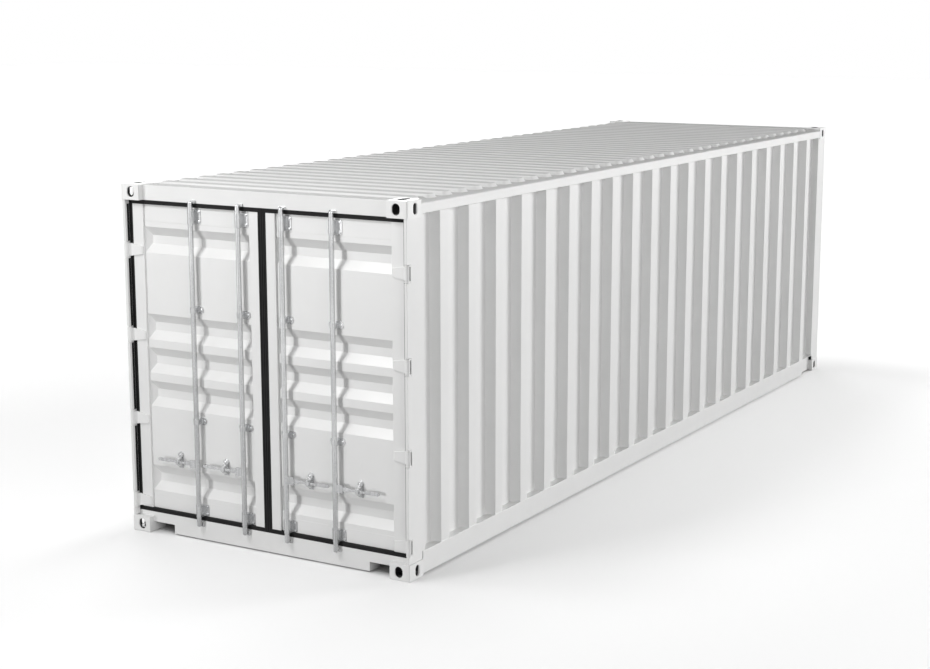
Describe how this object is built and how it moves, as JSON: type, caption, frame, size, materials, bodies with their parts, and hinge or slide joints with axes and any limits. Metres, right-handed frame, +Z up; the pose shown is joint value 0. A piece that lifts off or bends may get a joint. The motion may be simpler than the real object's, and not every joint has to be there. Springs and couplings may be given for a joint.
{
  "type": "shipping container",
  "caption": "White steel shipping container, corrugated and hollow with a timber floor, with hinged cargo doors, lock rods and handles at one end.",
  "frame": {"origin": "centre of the container's footprint, level with the underside of the lower corner castings", "axes": "+Z up, +Y from the door end to the front end, along the length; +X to the right when the doors are faced"},
  "size_m": [2.438, 8.25, 2.591],
  "materials": {
    "container_paint": "satin white paint",
    "door_paint": "satin white paint",
    "casting_paint": "satin white paint over cast steel",
    "hinge_paint": "satin white paint over forged steel",
    "underframe_paint": "matt grey-white paint",
    "galvanised_steel": "hot-dip galvanised, light grey",
    "handle_steel": "bright galvanised",
    "door_seal": "matt black rubber",
    "floor_timber": "oiled plywood"
  },
  "bodies": {
    "container": {"door_bottom_castings": "casting_paint", "door_top_castings": "casting_paint", "front_bottom_castings": "casting_paint", "front_top_castings": "casting_paint", "door_post_left": "container_paint", "door_post_right": "container_paint", "front_post_left": "container_paint", "front_post_right": "container_paint", "top_rail_left": "container_paint", "top_rail_right": "container_paint", "bottom_rail_left": "container_paint", "bottom_rail_right": "container_paint", "side_wall_left": "container_paint", "side_wall_right": "container_paint", "front_wall": "container_paint", "roof_panel": "container_paint", "door_header": "container_paint", "door_sill": "container_paint", "front_header": "container_paint", "front_sill": "container_paint", "floor_boards": "floor_timber", "cross_members": "underframe_paint", "hinge_pins": "hinge_paint", "cam_keepers": "galvanised_steel"},
    "left_door": {"left_door_stiles": "door_paint", "left_door_rails": "door_paint", "left_door_panel": "door_paint", "left_door_gasket": "door_seal", "left_door_hinges": "hinge_paint", "left_door_brackets": "galvanised_steel"},
    "left_inner_lock": {"left_inner_lock_rod": "galvanised_steel", "left_inner_handle": "handle_steel"},
    "left_outer_lock": {"left_outer_lock_rod": "galvanised_steel", "left_outer_handle": "handle_steel"},
    "right_door": {"right_door_stiles": "door_paint", "right_door_rails": "door_paint", "right_door_panel": "door_paint", "right_door_gasket": "door_seal", "right_door_hinges": "hinge_paint", "right_door_brackets": "galvanised_steel"},
    "right_inner_lock": {"right_inner_lock_rod": "galvanised_steel", "right_inner_handle": "handle_steel"},
    "right_outer_lock": {"right_outer_lock_rod": "galvanised_steel", "right_outer_handle": "handle_steel"}
  },
  "joints": [
    {"name": "left_door_hinge", "type": "hinge", "parent": "container", "child": "left_door", "pos_m": [-1.201, -4.105, 1.1695], "axis": [0, 0, -1], "range_deg": [0, 265]},
    {"name": "left_inner_lock_turn", "type": "hinge", "parent": "left_door", "child": "left_inner_lock", "pos_m": [-0.186, -4.104, 1.3065], "axis": [0, 0, -1], "range_deg": [-110, 0]},
    {"name": "left_outer_lock_turn", "type": "hinge", "parent": "left_door", "child": "left_outer_lock", "pos_m": [-0.603, -4.104, 1.3065], "axis": [0, 0, -1], "range_deg": [-110, 0]},
    {"name": "right_door_hinge", "type": "hinge", "parent": "container", "child": "right_door", "pos_m": [1.201, -4.105, 1.1695], "axis": [0, 0, 1], "range_deg": [0, 265]},
    {"name": "right_inner_lock_turn", "type": "hinge", "parent": "right_door", "child": "right_inner_lock", "pos_m": [0.186, -4.104, 1.3065], "axis": [0, 0, 1], "range_deg": [-110, 0]},
    {"name": "right_outer_lock_turn", "type": "hinge", "parent": "right_door", "child": "right_outer_lock", "pos_m": [0.603, -4.104, 1.3065], "axis": [0, 0, 1], "range_deg": [-110, 0]}
  ]
}
